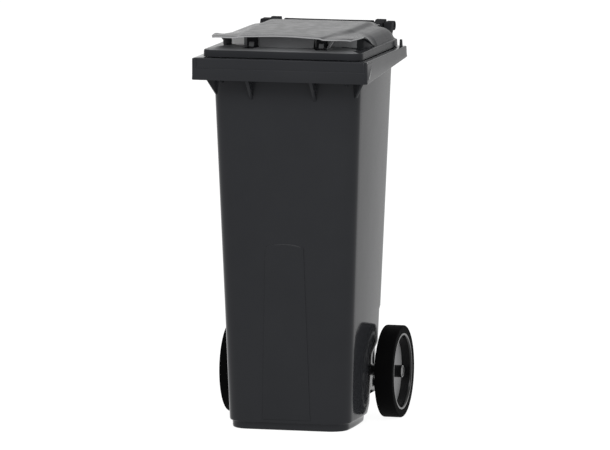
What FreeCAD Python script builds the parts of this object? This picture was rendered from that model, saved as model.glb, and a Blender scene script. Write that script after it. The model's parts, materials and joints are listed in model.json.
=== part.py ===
"""Two-wheel refuse bin of about 140 litres, one STEP file per separate piece, in millimetres.

+Z is up, the front faces -Y, and the origin is the middle of the footprint on the ground.
"""

import FreeCAD, Part
import math
import os

from FreeCAD import Vector

# ---- driving dimensions -------------------------------------------------------------------------
DEPTH = 546.0
FRONT = -DEPTH / 2.0
WALL = 4.0
DRAFT = 0.0378

PLINTH_HEIGHT = 20.0
PLINTH_INSET = 7.0
FLOOR_TOP = 30.0
BASE_HALF_WIDTH = 165.0
BASE_FRONT_Y = FRONT + 73.5
FRONT_DRAFT = 0.0205
BASE_CORNER = 58.0
CORNER_TAPER = 0.0133
REAR_CORNER = 15.0

# Height and depth of the rear wall: foot, axle recess and its roof, ledge, then the plain draft to the rim.
REAR_PROFILE = ((0.0, 304.0), (20.0, 312.0), (46.0, 335.0), (180.0, 343.0), (205.0, 403.5), (295.0, 406.5),
                (303.0, 416.8), (1007.0, 440.3))

RIM_TOP = 1007.0
RIM_HALF_WIDTH = 240.0
RIM_DEPTH = 446.0
RIM_FRONT_BOTTOM = 953.0
RIM_REAR_BOTTOM = 978.0
RIM_FLARE = 2.0
RIM_CORNER = 7.0
RIM_STEP_Z = 980.0
RIM_STEP = 1.2
RIM_CORNER_BLOCK = 11.0
CHEEK_PROUD = 1.6
RIM_CUT_BELOW = 40.0
GUSSET = 9.0
GUSSET_TIP_Z = 892.0
MID_GUSSET_X = 87.0
CORNER_GUSSET_Z = 930.0
# Turn, outward reach and tip height of the two ribs at each front corner.
CORNER_GUSSETS = ((55.0, 72.0, 903.0), (16.0, 86.0, 924.0))
PANEL_PROUD = 0.8
PANEL_FOOT = (70.5, 28.0)
PANEL_TOP = (50.0, 498.0)
PANEL_ARCH_Z = 508.0
FIN = (230.0, FRONT + 419.0, 7.0, 14.0, 20.0)

HINGE_Y = FRONT + 533.0
HINGE_Z = 1051.0
HORN_INNER = 163.0
HORN_OUTER = 184.0
WEB_OUTER = 124.0
WEB_THICK = 10.0
BAR_RADIUS = 13.0
PIN_RADIUS = 7.0
PIN_HEAD_RADIUS = 11.0
PIN_HEAD_LENGTH = 4.0
PIN_RECESS = 14.0
PIN_CLEARANCE = 0.08
KNUCKLE_INNER = 134.0
KNUCKLE_OUTER = 159.0
KNUCKLE_RADIUS = 12.8
KNUCKLE_TOP = 1068.0

LID_GAP = 2.0
LID_FLANGE = 18.0
LID_HALF_WIDTH = 220.0
LID_FRONT = FRONT + 22.0
LID_REAR = FRONT + 444.0
LID_TOP = 1071.0
LID_WALL = 3.5
LID_CORNER = 27.0
LIP_THICK = 4.5
LIP_EDGE = ((0.0, 34.0), (35.0, 28.4), (70.0, 16.0), (100.0, 6.5), (130.0, 3.0), (160.0, 6.0), (186.0, 19.0))
LIP_SIDE = ((198.0, 60.0), (205.0, 128.0), (208.0, 250.0))
WALL_HALF = 207.0
POCKET_BACK = FRONT + 90.0
POCKET_FLAT = 140.0
POCKET_TURN = (191.0, FRONT + 140.0)
POCKET_END = FRONT + 238.0
WALL_REAR = LID_REAR - 5.0
WALL_CORNER = 18.0
EXTENSION_FRONT = FRONT + 400.0
EXTENSION_DEEP = 22.0
EXTENSION_ROOM = 30.0
EXTENSION_HALF = 159.0
EXTENSION_REAR = FRONT + 506.0
EXTENSION_FALL = 9.0
BLOCK_HALF = 76.0
BLOCK_FRONT = FRONT + 76.0
PAD = (86.0, 101.0)

# Corners across half of the lid's top: (x, z) at the lip, then (x, z) behind the hand pockets.
TOP_CORNERS = (((100.0, 1070.5), (124.0, 1070.5)), ((125.0, 1067.8), (149.0, 1064.5)),
               ((134.0, 1066.6), (160.0, 1061.0)), ((165.0, 1066.2), (182.0, 1057.5)),
               ((184.0, 1065.8), (200.0, 1048.5)), ((192.0, 1064.5), (207.0, 1038.0)),
               ((202.0, 1062.0), (212.0, 1027.0)))
# Depth, share of the way from the first corners to the second, fall in the middle, fall at the shoulders.
TOP_STATIONS = ((-5.0, 0.0, 0.0, 0.0), (60.0, 0.08, 0.0, 0.0), (150.0, 0.45, 0.0, 0.0),
                (238.0, 1.0, 0.0, 0.0), (416.0, 1.0, 0.0, 0.0), (446.0, 1.0, 0.4, 9.0),
                (510.0, 1.0, EXTENSION_FALL, 9.0))

WHEEL_RADIUS = 125.0
WHEEL_OUTER = 242.0
WHEEL_WIDTH = 51.0
TYRE_CHAMFER = 4.0
WHEEL_RIBS = 8
WHEEL_RIB = 4.0
AXLE_Y = FRONT + 402.0
AXLE_Z = WHEEL_RADIUS
AXLE_RADIUS = 11.0
AXLE_HALF = 233.8
RIM_RING_OUTER = 104.0
RIM_RING_INNER = 97.0
WEB_FACE = 213.0
WHEEL_WEB = 5.0
HUB_RADIUS = 17.0
BUSH_RADIUS = 14.0
BUSH_LENGTH = 18.0
HUB_END = 240.0
CAP_THICK = 4.0
CLIP_START = 229.8
CLIP_THICK = 1.5
RUNNING_FIT = 0.08
BRACKET_OUTER = 158.5
BRACKET_THICK = 8.5
BRACKET_REACH = 21.0
BRACKET_ROOT = FRONT + 330.0
BRACKET_LOW = 66.0
BRACKET_TOP = 184.0
SLOT_RADIUS = 10.0
# Lowest and highest point of each bracket slot, from the axle.
SLOT_SPANS = ((17.0, 43.0), (-44.0, -17.0))


# ---- small helpers ------------------------------------------------------------------------------
def box(x0, x1, y0, y1, z0, z1):
    """Axis-aligned box from its lowest to its highest corner."""
    return Part.makeBox(x1 - x0, y1 - y0, z1 - z0, Vector(x0, y0, z0))


def rod(x0, x1, radius, y, z):
    """Cylinder along X from x0 to x1."""
    return Part.makeCylinder(radius, x1 - x0, Vector(x0, y, z), Vector(1, 0, 0))


def ring(x0, x1, outer, inner, y, z):
    """Tube along X."""
    return rod(x0, x1, outer, y, z).cut(rod(x0 - 1, x1 + 1, inner, y, z))


def mirrored(shape):
    """The same shape on the other side of the plane X = 0."""
    return shape.mirror(Vector(0, 0, 0), Vector(1, 0, 0))


def union(shapes):
    """All the shapes as one solid with its seams removed."""
    whole = shapes[0].multiFuse(shapes[1:])
    return whole.removeSplitter()


def rounded_outline(z, x0, x1, y0, y1, radius, rear_radius=None):
    """Closed wire at height z: a rectangle with round corners, which may differ at the rear."""
    rear = radius if rear_radius is None else rear_radius
    corners = ((x1, y1, 1, 1, rear), (x0, y1, -1, 1, rear),
               (x0, y0, -1, -1, radius), (x1, y0, 1, -1, radius))
    arcs = []
    for index, (x, y, sx, sy, r) in enumerate(corners):
        bow = r * (1.0 - math.sqrt(0.5))
        along_x = Vector(x - sx * r, y, z)
        along_y = Vector(x, y - sy * r, z)
        middle = Vector(x - sx * bow, y - sy * bow, z)
        start, end = (along_y, along_x) if index % 2 == 0 else (along_x, along_y)
        arcs.append((start, middle, end))
    edges = []
    for index, (start, middle, end) in enumerate(arcs):
        edges.append(Part.Arc(start, middle, end).toShape())
        edges.append(Part.makeLine(end, arcs[(index + 1) % 4][0]))
    return Part.Wire(edges)


def plate_yz(points, x0, x1):
    """Flat plate between x0 and x1 with a closed outline of (y, z) points."""
    corners = [Vector(x0, y, z) for y, z in points]
    face = Part.Face(Part.makePolygon(corners + corners[:1]))
    return face.extrude(Vector(x1 - x0, 0, 0))


def save(name, shape):
    """Write one piece to its own STEP file."""
    solids = shape.Solids
    if not solids or not shape.isValid():
        raise ValueError(name + " is not a valid solid")
    whole = solids[0] if len(solids) == 1 else Part.makeCompound(solids)
    whole.exportStep("parts/" + name + ".step")
    size = whole.BoundBox
    print("%-22s %.1f x %.1f x %.1f" % (name, size.XLength, size.YLength, size.ZLength))


# ---- the tub's section at a height --------------------------------------------------------------
def half_width(z):
    return BASE_HALF_WIDTH + DRAFT * z


def front_y(z):
    return BASE_FRONT_Y - FRONT_DRAFT * z


def corner(z):
    return BASE_CORNER - CORNER_TAPER * z


def rear_y(z):
    """The rear wall's depth at a height, along its profile."""
    steps = [pair for pair in zip(REAR_PROFILE, REAR_PROFILE[1:]) if z >= pair[0][0]]
    (z0, y0), (z1, y1) = steps[-1]
    return FRONT + y0 + (y1 - y0) * (z - z0) / (z1 - z0)


def tub_outline(z, inset):
    side = half_width(z) - inset
    return rounded_outline(z, -side, side, front_y(z) + inset, rear_y(z) - inset, corner(z) - inset,
                           max(REAR_CORNER - inset, 3.0))


def tub_loft(levels, inset):
    return Part.makeLoft([tub_outline(z, inset) for z in levels], True, True)


# ---- the body -----------------------------------------------------------------------------------
def tub_outside():
    """The tapered tub on its recessed plinth."""
    wall = tub_loft([PLINTH_HEIGHT + 6] + [z for z, y in REAR_PROFILE if z > PLINTH_HEIGHT + 6], 0.0)
    turn = Part.makeLoft([tub_outline(PLINTH_HEIGHT, 3.5), tub_outline(PLINTH_HEIGHT + 6, 0.0)], True, True)
    plinth = Part.makeLoft([tub_outline(0.0, PLINTH_INSET + 4), tub_outline(5.0, PLINTH_INSET),
                            tub_outline(PLINTH_HEIGHT, PLINTH_INSET)], True, True)
    return union([wall, turn, plinth])


def tub_inside():
    """The hollow of the tub, from its floor up through the mouth."""
    return tub_loft([FLOOR_TOP] + [z for z, y in REAR_PROFILE[:-1] if z > FLOOR_TOP] + [RIM_TOP + 1], WALL)


def rim_prism(inset, low, high):
    """The rim's outer block, flaring a little towards its bottom edge."""
    rear = FRONT + RIM_DEPTH - inset
    top_side = RIM_HALF_WIDTH - inset
    foot_side = top_side + RIM_FLARE
    radius = RIM_CORNER - inset
    upper = rounded_outline(high, -top_side, top_side, FRONT + inset + RIM_FLARE, rear, radius)
    lower = rounded_outline(low, -foot_side, foot_side, FRONT + inset, rear, radius)
    return Part.makeLoft([lower, upper], True, True)


def rim():
    """Downward-open channel round the mouth, deeper at the front than at the rear."""
    shell = rim_prism(0.0, RIM_FRONT_BOTTOM - 10, RIM_TOP)
    channel = rim_prism(WALL, RIM_FRONT_BOTTOM - 10, RIM_TOP - WALL)
    shell = shell.cut(channel)
    fall = RIM_REAR_BOTTOM - RIM_FRONT_BOTTOM
    low = RIM_FRONT_BOTTOM - RIM_CUT_BELOW
    near, far = FRONT - 10, FRONT + RIM_DEPTH + 10
    below = [(near, low), (near, RIM_FRONT_BOTTOM - 10 * fall / RIM_DEPTH),
             (far, RIM_REAR_BOTTOM + 10 * fall / RIM_DEPTH), (far, low)]
    shell = shell.cut(plate_yz(below, -RIM_HALF_WIDTH - 20, RIM_HALF_WIDTH + 20))
    panel_half = RIM_HALF_WIDTH - RIM_CORNER_BLOCK
    upper = rim_prism(RIM_STEP, RIM_STEP_Z, RIM_TOP + 1)
    strip = box(-panel_half, panel_half, FRONT - 5, FRONT + 6, RIM_STEP_Z, RIM_TOP + 1)
    return shell.cut(strip.cut(upper))


def rim_cheek():
    """The slightly thicker front end of the side skirt, with its curved rear edge."""
    low = RIM_FRONT_BOTTOM
    bottom_left = Vector(RIM_HALF_WIDTH - 2, FRONT + 6, low + 0.4)
    bottom_right = Vector(RIM_HALF_WIDTH - 2, FRONT + 32, low + 1.8)
    middle = Vector(RIM_HALF_WIDTH - 2, FRONT + 45, low + 26)
    top_right = Vector(RIM_HALF_WIDTH - 2, FRONT + 70, RIM_TOP - 6)
    top_left = Vector(RIM_HALF_WIDTH - 2, FRONT + 6, RIM_TOP - 6)
    edges = [Part.makeLine(bottom_left, bottom_right), Part.Arc(bottom_right, middle, top_right).toShape(),
             Part.makeLine(top_right, top_left), Part.makeLine(top_left, bottom_left)]
    return Part.Face(Part.Wire(edges)).extrude(Vector(2 + CHEEK_PROUD, 0, 0))


def gussets():
    """Triangular ribs under the rim: two in front, two at each front corner."""
    pieces = []
    for x in (-MID_GUSSET_X, MID_GUSSET_X):
        outline = [(FRONT + 3, RIM_TOP - 2), (FRONT + 3, RIM_FRONT_BOTTOM + 2),
                   (front_y(GUSSET_TIP_Z) + 1, GUSSET_TIP_Z), (front_y(RIM_TOP) + 2, RIM_TOP - 2)]
        pieces.append(plate_yz(outline, x - GUSSET / 2, x + GUSSET / 2))
    radius = corner(CORNER_GUSSET_Z)
    centre_x = half_width(CORNER_GUSSET_Z) - radius
    centre_y = front_y(CORNER_GUSSET_Z) + radius
    for angle, reach, tip_z in CORNER_GUSSETS:
        outline = [(-radius + 3, RIM_TOP - 2), (-radius + 3, tip_z), (-radius + 0.5, tip_z),
                   (-reach, RIM_FRONT_BOTTOM + 2), (-reach, RIM_TOP - 2)]
        for side in (1, -1):
            rib = plate_yz(outline, -GUSSET / 2, GUSSET / 2)
            rib.rotate(Vector(0, 0, 0), Vector(0, 0, 1), side * angle)
            rib.translate(Vector(side * centre_x, centre_y, 0))
            pieces.append(rib)
    return pieces


def front_panel():
    """Faint raised panel low on the front with a gently arched top."""
    def at(x, z):
        return Vector(x, front_y(z) - PANEL_PROUD, z)
    foot_left, foot_right = at(-PANEL_FOOT[0], PANEL_FOOT[1]), at(*PANEL_FOOT)
    left, right = at(-PANEL_TOP[0], PANEL_TOP[1]), at(*PANEL_TOP)
    edges = [Part.makeLine(foot_left, foot_right), Part.makeLine(foot_right, right),
             Part.Arc(right, at(0, PANEL_ARCH_Z), left).toShape(), Part.makeLine(left, foot_left)]
    return Part.Face(Part.Wire(edges)).extrude(Vector(0, WALL, 0))


def fin(side):
    """Small pointed lid guide on the rim's top, near the rear corner."""
    x, y, thick, depth, height = FIN
    outline = [(y - depth / 2, RIM_TOP - 1), (y - 2, RIM_TOP + height), (y + 1, RIM_TOP + height),
               (y + depth / 2, RIM_TOP - 1)]
    return plate_yz(outline, side * x - thick / 2, side * x + thick / 2)


def handle():
    """Grip bar on two inner webs, and an outer hinge horn at each end."""
    pieces = [rod(-WEB_OUTER + 1, WEB_OUTER - 1, BAR_RADIUS, HINGE_Y, HINGE_Z)]
    rear = FRONT + RIM_DEPTH
    arm = [(HINGE_Y, HINGE_Z - BAR_RADIUS), (HINGE_Y, HINGE_Z + BAR_RADIUS),
           (HINGE_Y - 34, HINGE_Z + BAR_RADIUS), (HINGE_Y - 44, HINGE_Z - 4),
           (rear + 2, RIM_TOP - 2), (rear - 3, RIM_TOP - 2),
           (rear - 3, RIM_REAR_BOTTOM + 3), (rear + 8, RIM_REAR_BOTTOM + 3),
           (HINGE_Y - 30, HINGE_Z - 42), (HINGE_Y - 24, HINGE_Z - 18)]
    web = [(HINGE_Y, HINGE_Z - BAR_RADIUS), (HINGE_Y, HINGE_Z + 12), (HINGE_Y - 8, HINGE_Z + 11),
           (HINGE_Y - 24, HINGE_Z + 1), (HINGE_Y - 46, HINGE_Z - 14)] + arm[4:]
    for side in (1, -1):
        low, high = sorted((side * HORN_INNER, side * HORN_OUTER))
        horn = union([plate_yz(arm, low, high), rod(low, high, BAR_RADIUS, HINGE_Y, HINGE_Z)])
        hollow = [(HINGE_Y - 30, HINGE_Z - 42), (HINGE_Y - 42, HINGE_Z - 14), (rear + 8, RIM_TOP - 6),
                  (rear + 10, RIM_REAR_BOTTOM + 3)]
        pieces.append(horn.cut(plate_yz(hollow, low + 5, high - 5)))
        low, high = sorted((side * (WEB_OUTER - WEB_THICK), side * WEB_OUTER))
        pieces.append(union([plate_yz(web, low, high), rod(low, high, BAR_RADIUS, HINGE_Y, HINGE_Z)]))
    return pieces


def hinge_bores():
    """Pin bore through each horn and into each web, with a recess for the pin's head."""
    bores = []
    for side in (1, -1):
        for inner, outer, radius in ((WEB_OUTER - WEB_THICK - 14, HORN_OUTER + 1, PIN_RADIUS),
                                     (HORN_OUTER - PIN_RECESS, HORN_OUTER + 1, PIN_HEAD_RADIUS)):
            low, high = sorted((side * inner, side * outer))
            bores.append(rod(low, high, radius, HINGE_Y, HINGE_Z))
    return bores


def axle_bracket(side):
    """Upright plate from the axle recess round the axle, with a rounded slot above and below it."""
    low, high = sorted((side * (BRACKET_OUTER - BRACKET_THICK), side * BRACKET_OUTER))
    rear = AXLE_Y + BRACKET_REACH
    outline = [(BRACKET_ROOT, BRACKET_LOW), (rear - 6, BRACKET_LOW), (rear, BRACKET_LOW + 6),
               (rear, BRACKET_TOP), (rear - 15, BRACKET_TOP + 22), (BRACKET_ROOT, BRACKET_TOP + 22)]
    plate = plate_yz(outline, low, high)
    for foot, head in SLOT_SPANS:
        z0, z1 = AXLE_Z + foot + SLOT_RADIUS, AXLE_Z + head - SLOT_RADIUS
        slot = union([box(low - 1, high + 1, AXLE_Y - SLOT_RADIUS, AXLE_Y + SLOT_RADIUS, z0, z1),
                      rod(low - 1, high + 1, SLOT_RADIUS, AXLE_Y, z0),
                      rod(low - 1, high + 1, SLOT_RADIUS, AXLE_Y, z1)])
        plate = plate.cut(slot)
    return plate


def body():
    """One moulding: tub, rim with its cheeks and ribs, handle, lid guides and axle brackets."""
    pieces = [tub_outside(), rim(), rim_cheek(), mirrored(rim_cheek()), front_panel()]
    pieces += gussets() + handle() + [fin(1), fin(-1)]
    pieces += [axle_bracket(1), axle_bracket(-1)]
    whole = union(pieces)
    axle_bore = rod(-BRACKET_OUTER - 1, BRACKET_OUTER + 1, AXLE_RADIUS, AXLE_Y, AXLE_Z)
    for hollow in [tub_inside(), axle_bore] + hinge_bores():
        whole = whole.cut(hollow)
    return whole


# ---- the lid ------------------------------------------------------------------------------------
LID_BASE = RIM_TOP + LID_GAP
SILL_Z = LID_BASE + LID_FLANGE


def below_top(lowered):
    """Everything under the lid's top surface, lowered by a thickness: plateau, shoulders and lip."""
    wires = []
    for depth, share, middle_fall, side_fall in TOP_STATIONS:
        half = []
        for (x0, z0), (x1, z1) in TOP_CORNERS:
            x = x0 + (x1 - x0) * share
            z = z0 + (z1 - z0) * share
            fall = middle_fall if x1 < EXTENSION_HALF else side_fall * (z - SILL_Z) / (LID_TOP - SILL_Z)
            half.append((x, z - fall - lowered))
        line = [(-x, z) for x, z in reversed(half)] + [(0.0, LID_TOP - middle_fall - lowered)] + half
        floor = LID_BASE - 20
        points = [Vector(line[0][0], FRONT + depth, floor)]
        points += [Vector(x, FRONT + depth, z) for x, z in line]
        points.append(Vector(line[-1][0], FRONT + depth, floor))
        wires.append(Part.makePolygon(points + points[:1]))
    return Part.makeLoft(wires, True, True)


def wall_prism(inset, low, high):
    """Plan of the lid's inner wall: straight behind the block, round the hand pockets, square behind."""
    half, rear = WALL_HALF - inset, WALL_REAR - inset
    radius = WALL_CORNER - inset
    bow = radius * (1.0 - math.sqrt(0.5))
    front, flat = POCKET_BACK + inset, POCKET_FLAT - inset * 0.4
    turn_x, turn_y = POCKET_TURN[0] - inset * 0.7, POCKET_TURN[1] + inset * 0.7
    edges = [Part.makeLine(Vector(-flat, front, low), Vector(flat, front, low)),
             Part.Arc(Vector(flat, front, low), Vector(turn_x, turn_y, low),
                      Vector(half, POCKET_END, low)).toShape(),
             Part.makeLine(Vector(half, POCKET_END, low), Vector(half, rear - radius, low)),
             Part.Arc(Vector(half, rear - radius, low), Vector(half - bow, rear - bow, low),
                      Vector(half - radius, rear, low)).toShape(),
             Part.makeLine(Vector(half - radius, rear, low), Vector(radius - half, rear, low)),
             Part.Arc(Vector(radius - half, rear, low), Vector(bow - half, rear - bow, low),
                      Vector(-half, rear - radius, low)).toShape(),
             Part.makeLine(Vector(-half, rear - radius, low), Vector(-half, POCKET_END, low)),
             Part.Arc(Vector(-half, POCKET_END, low), Vector(-turn_x, turn_y, low),
                      Vector(-flat, front, low)).toShape()]
    return Part.Face(Part.Wire(edges)).extrude(Vector(0, 0, high - low))


def lid_volume(inset, floor):
    """Flange, inner wall and hinge extension under the top surface, or their hollow when inset."""
    side, front, rear = LID_HALF_WIDTH - inset, LID_FRONT + inset, LID_REAR - inset
    radius = LID_CORNER - inset
    foot = rounded_outline(floor, -side, side, front, rear, radius)
    head = rounded_outline(SILL_Z - inset, 1 - side, side - 1, front + 1, rear - 1, radius - 1)
    flange = Part.makeLoft([foot, head], True, True)
    half = EXTENSION_HALF - inset
    extension_low = LID_TOP - (EXTENSION_DEEP if inset == 0 else EXTENSION_ROOM)
    extension_rear = EXTENSION_REAR if inset == 0 else EXTENSION_REAR + 1
    extension = box(-half, half, EXTENSION_FRONT, extension_rear, extension_low, LID_TOP + 5)
    under = below_top(inset)
    wall = wall_prism(inset, SILL_Z - 5, LID_TOP + 5)
    return union([flange, wall.common(under), extension.common(under)])


def lip():
    """The top sheet in front, over the block and both hand pockets, with its wavy grip edge."""
    floor = LID_BASE
    right = [Vector(x, FRONT + y, floor) for x, y in LIP_EDGE]
    left = [Vector(-v.x, v.y, floor) for v in reversed(right[1:])]
    curve = Part.BSplineCurve()
    curve.interpolate(left + right)
    side = [Vector(x, FRONT + y, floor) for x, y in LIP_SIDE]
    corners = [right[-1]] + side + [Vector(-v.x, v.y, floor) for v in reversed(side)] + [left[0]]
    edges = [curve.toShape()] + [Part.makeLine(a, b) for a, b in zip(corners, corners[1:])]
    plan = Part.Face(Part.Wire(edges)).extrude(Vector(0, 0, LID_TOP + 5 - floor))
    return plan.common(below_top(0.0)).cut(below_top(LIP_THICK))


def lid_supports():
    """Centre block and a small pad on each side of it, from the sill up to the lip."""
    top = LID_TOP - LIP_THICK - 2.0
    supports = [box(-BLOCK_HALF, BLOCK_HALF, BLOCK_FRONT, POCKET_BACK + 1, SILL_Z - 1, top)]
    for side in (1, -1):
        low, high = sorted((side * PAD[0], side * PAD[1]))
        supports.append(box(low, high, BLOCK_FRONT, POCKET_BACK + 1, SILL_Z - 1, top - 2.0))
    return supports


def knuckle(side):
    """Ring round the hinge pin on an arm from the raised middle, with a strap over its top."""
    low, high = sorted((side * KNUCKLE_INNER, side * KNUCKLE_OUTER))
    arm = [(EXTENSION_REAR - 12, LID_TOP - EXTENSION_FALL), (EXTENSION_REAR - 12, LID_TOP - 18),
           (HINGE_Y - 4, HINGE_Z - KNUCKLE_RADIUS + 1), (HINGE_Y + 6, HINGE_Z + 8),
           (HINGE_Y + 3, KNUCKLE_TOP), (HINGE_Y - 18, KNUCKLE_TOP)]
    return union([plate_yz(arm, low, high), rod(low, high, KNUCKLE_RADIUS, HINGE_Y, HINGE_Z)])


def lid():
    """One moulding: flange, hollow shell, lip with its supports, and the two hinge knuckles."""
    hollow = lid_volume(LID_WALL, LID_BASE - 1)
    shell = lid_volume(0.0, LID_BASE).cut(hollow)
    whole = union([shell, lip().cut(hollow)] + lid_supports() + [knuckle(1), knuckle(-1)])
    for side in (1, -1):
        low, high = sorted((side * (KNUCKLE_INNER - 2), side * (KNUCKLE_OUTER + 2)))
        whole = whole.cut(rod(low, high, PIN_RADIUS + PIN_CLEARANCE, HINGE_Y, HINGE_Z))
    return whole


# ---- hinge pins, axle and wheels ----------------------------------------------------------------
def hinge_pin():
    """Headed pin through the horn, the lid's knuckle and the web."""
    head = HORN_OUTER - PIN_RECESS + 1
    shank = rod(WEB_OUTER - WEB_THICK - 12, head + PIN_HEAD_LENGTH - 1, PIN_RADIUS, HINGE_Y, HINGE_Z)
    cap = rod(head - 1, head + PIN_HEAD_LENGTH - 1, PIN_HEAD_RADIUS, HINGE_Y, HINGE_Z)
    return union([shank, cap])


def axle():
    """Round steel bar with a groove near each end for its retaining ring."""
    bar = rod(-AXLE_HALF, AXLE_HALF, AXLE_RADIUS, AXLE_Y, AXLE_Z)
    for side in (1, -1):
        low, high = sorted((side * CLIP_START, side * (CLIP_START + CLIP_THICK)))
        bar = bar.cut(ring(low, high, AXLE_RADIUS + 1, AXLE_RADIUS - 1, AXLE_Y, AXLE_Z))
    return bar


HUB_INNER = WHEEL_OUTER - WHEEL_WIDTH


def tyre():
    """Solid rubber tyre with chamfered shoulders."""
    mid = WHEEL_OUTER - WHEEL_WIDTH / 2
    half = WHEEL_WIDTH / 2
    inner = half - TYRE_CHAMFER
    shoulder = WHEEL_RADIUS - TYRE_CHAMFER
    outline = [(-half, RIM_RING_OUTER), (half, RIM_RING_OUTER), (half, shoulder), (inner, WHEEL_RADIUS),
               (-inner, WHEEL_RADIUS), (-half, shoulder)]
    corners = [Vector(mid + x, AXLE_Y, AXLE_Z + r) for x, r in outline]
    face = Part.Face(Part.makePolygon(corners + corners[:1]))
    return face.revolve(Vector(0, AXLE_Y, AXLE_Z), Vector(1, 0, 0), 360)


def wheel_rim():
    """Barrel, web, hub and inner ribs of the plastic wheel."""
    barrel = ring(HUB_INNER + 1, WHEEL_OUTER - 1, RIM_RING_OUTER, RIM_RING_INNER, AXLE_Y, AXLE_Z)
    web = ring(WEB_FACE - WHEEL_WEB, WEB_FACE, RIM_RING_INNER + 1, BUSH_RADIUS + 1, AXLE_Y, AXLE_Z)
    hub = ring(HUB_INNER + 1, HUB_END - CAP_THICK, HUB_RADIUS, BUSH_RADIUS, AXLE_Y, AXLE_Z)
    ribs = []
    for index in range(WHEEL_RIBS):
        rib = box(HUB_INNER + 6, WEB_FACE - WHEEL_WEB + 1, AXLE_Y - WHEEL_RIB / 2, AXLE_Y + WHEEL_RIB / 2,
                  AXLE_Z + HUB_RADIUS - 1, AXLE_Z + RIM_RING_INNER + 1)
        rib.rotate(Vector(0, AXLE_Y, AXLE_Z), Vector(1, 0, 0), 360.0 / WHEEL_RIBS * index)
        ribs.append(rib)
    whole = union([barrel, web, hub] + ribs)
    return whole.cut(rod(HUB_INNER - 5, HUB_END + 5, BUSH_RADIUS, AXLE_Y, AXLE_Z))


def bush(x0):
    return ring(x0, x0 + BUSH_LENGTH, BUSH_RADIUS, AXLE_RADIUS + RUNNING_FIT, AXLE_Y, AXLE_Z)


def spacer():
    """Sleeve on the axle between the bracket and the hub."""
    return ring(BRACKET_OUTER, HUB_INNER + 0.6, AXLE_RADIUS + 4, AXLE_RADIUS, AXLE_Y, AXLE_Z)


def washer():
    start = HUB_INNER + 1 + 2 * BUSH_LENGTH
    return ring(start + 0.3, CLIP_START, BUSH_RADIUS - 1, AXLE_RADIUS, AXLE_Y, AXLE_Z)


def retaining_clip():
    """Open spring ring that sits in the axle's end groove."""
    clip = ring(CLIP_START, CLIP_START + CLIP_THICK, AXLE_RADIUS + 2, AXLE_RADIUS - 1, AXLE_Y, AXLE_Z)
    gap = box(CLIP_START - 1, CLIP_START + 3, AXLE_Y - 3, AXLE_Y + 3, AXLE_Z, AXLE_Z + AXLE_RADIUS + 5)
    return clip.cut(gap)


def hub_cap():
    """Push-in cap that closes the outer end of the hub."""
    start = HUB_END - CAP_THICK
    disc = rod(start, HUB_END, HUB_RADIUS, AXLE_Y, AXLE_Z)
    disc = disc.cut(rod(HUB_END - 2, HUB_END + 1, HUB_RADIUS - 4, AXLE_Y, AXLE_Z))
    spigot = ring(start - 2, start + 1, BUSH_RADIUS, BUSH_RADIUS - 2.5, AXLE_Y, AXLE_Z)
    return union([disc, spigot])


def main():
    os.makedirs("parts", exist_ok=True)
    save("body", body())
    save("lid", lid())
    save("axle", axle())
    right = {"hinge_pin": hinge_pin(), "tyre": tyre(), "wheel_rim": wheel_rim(),
             "bush_inner": bush(HUB_INNER + 1), "bush_outer": bush(HUB_INNER + 1 + BUSH_LENGTH),
             "spacer": spacer(), "washer": washer(), "retaining_clip": retaining_clip(),
             "hub_cap": hub_cap()}
    for name, shape in right.items():
        save(name + "_right", shape)
        save(name + "_left", mirrored(shape))


main()
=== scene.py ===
"""Looks for the two-wheel refuse bin: moulded shells, lid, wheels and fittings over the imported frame.

The scene is in metres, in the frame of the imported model: +Z up, the front faces -Y. The shapes are laid out in
millimetres and turned into that frame by place().
"""
import json
import math

import bmesh
import bpy
from mathutils import Matrix, Vector


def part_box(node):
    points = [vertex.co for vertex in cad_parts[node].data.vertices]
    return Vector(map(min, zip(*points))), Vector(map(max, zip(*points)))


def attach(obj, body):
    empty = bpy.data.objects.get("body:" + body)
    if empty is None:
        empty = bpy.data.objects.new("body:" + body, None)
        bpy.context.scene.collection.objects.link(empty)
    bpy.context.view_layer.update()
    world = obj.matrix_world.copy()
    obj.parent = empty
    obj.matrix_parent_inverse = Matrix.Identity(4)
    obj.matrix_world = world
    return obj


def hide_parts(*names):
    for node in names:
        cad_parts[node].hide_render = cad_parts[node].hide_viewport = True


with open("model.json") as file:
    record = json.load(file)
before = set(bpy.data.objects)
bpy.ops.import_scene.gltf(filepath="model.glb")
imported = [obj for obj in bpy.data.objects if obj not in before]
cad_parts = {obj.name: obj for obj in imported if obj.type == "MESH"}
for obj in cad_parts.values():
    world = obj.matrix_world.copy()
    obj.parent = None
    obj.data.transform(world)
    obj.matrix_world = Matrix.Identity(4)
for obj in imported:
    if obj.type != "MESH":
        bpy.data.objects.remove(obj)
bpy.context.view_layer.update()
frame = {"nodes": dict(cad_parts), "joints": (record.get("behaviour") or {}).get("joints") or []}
MM = 0.001


# ---- places read from the frame -------------------------------------------------------------------
def joint(name):
    """The joint of that name in the frame."""
    return next(j for j in frame["joints"] if j["name"] == name)


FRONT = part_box("body")[0].y


def in_section(pos):
    """Depth and height of a joint in millimetres."""
    return (pos[1] - FRONT) / MM, pos[2] / MM


HINGE_V, HINGE_H = in_section(joint("lid_hinge")["pos_m"])
AXLE_V, AXLE_H = in_section(joint("wheel_right_spin")["pos_m"])
LID_GAP = 2 * MM
RIM_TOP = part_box("lid")[0].z - LID_GAP


# ---- camera, light and floor ----------------------------------------------------------------------
CAMERA_YAW = math.radians(14.72)
CAMERA_PITCH = math.radians(7.22)
CAMERA_DISTANCE = 25.2845
CAMERA_LENS = 555.4
CAMERA_TARGET = Vector((0.0196, FRONT + 0.200, 0.5416))
FLOOR_REACH = 60.0
WHITE = (1, 1, 1, 1)


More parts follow.
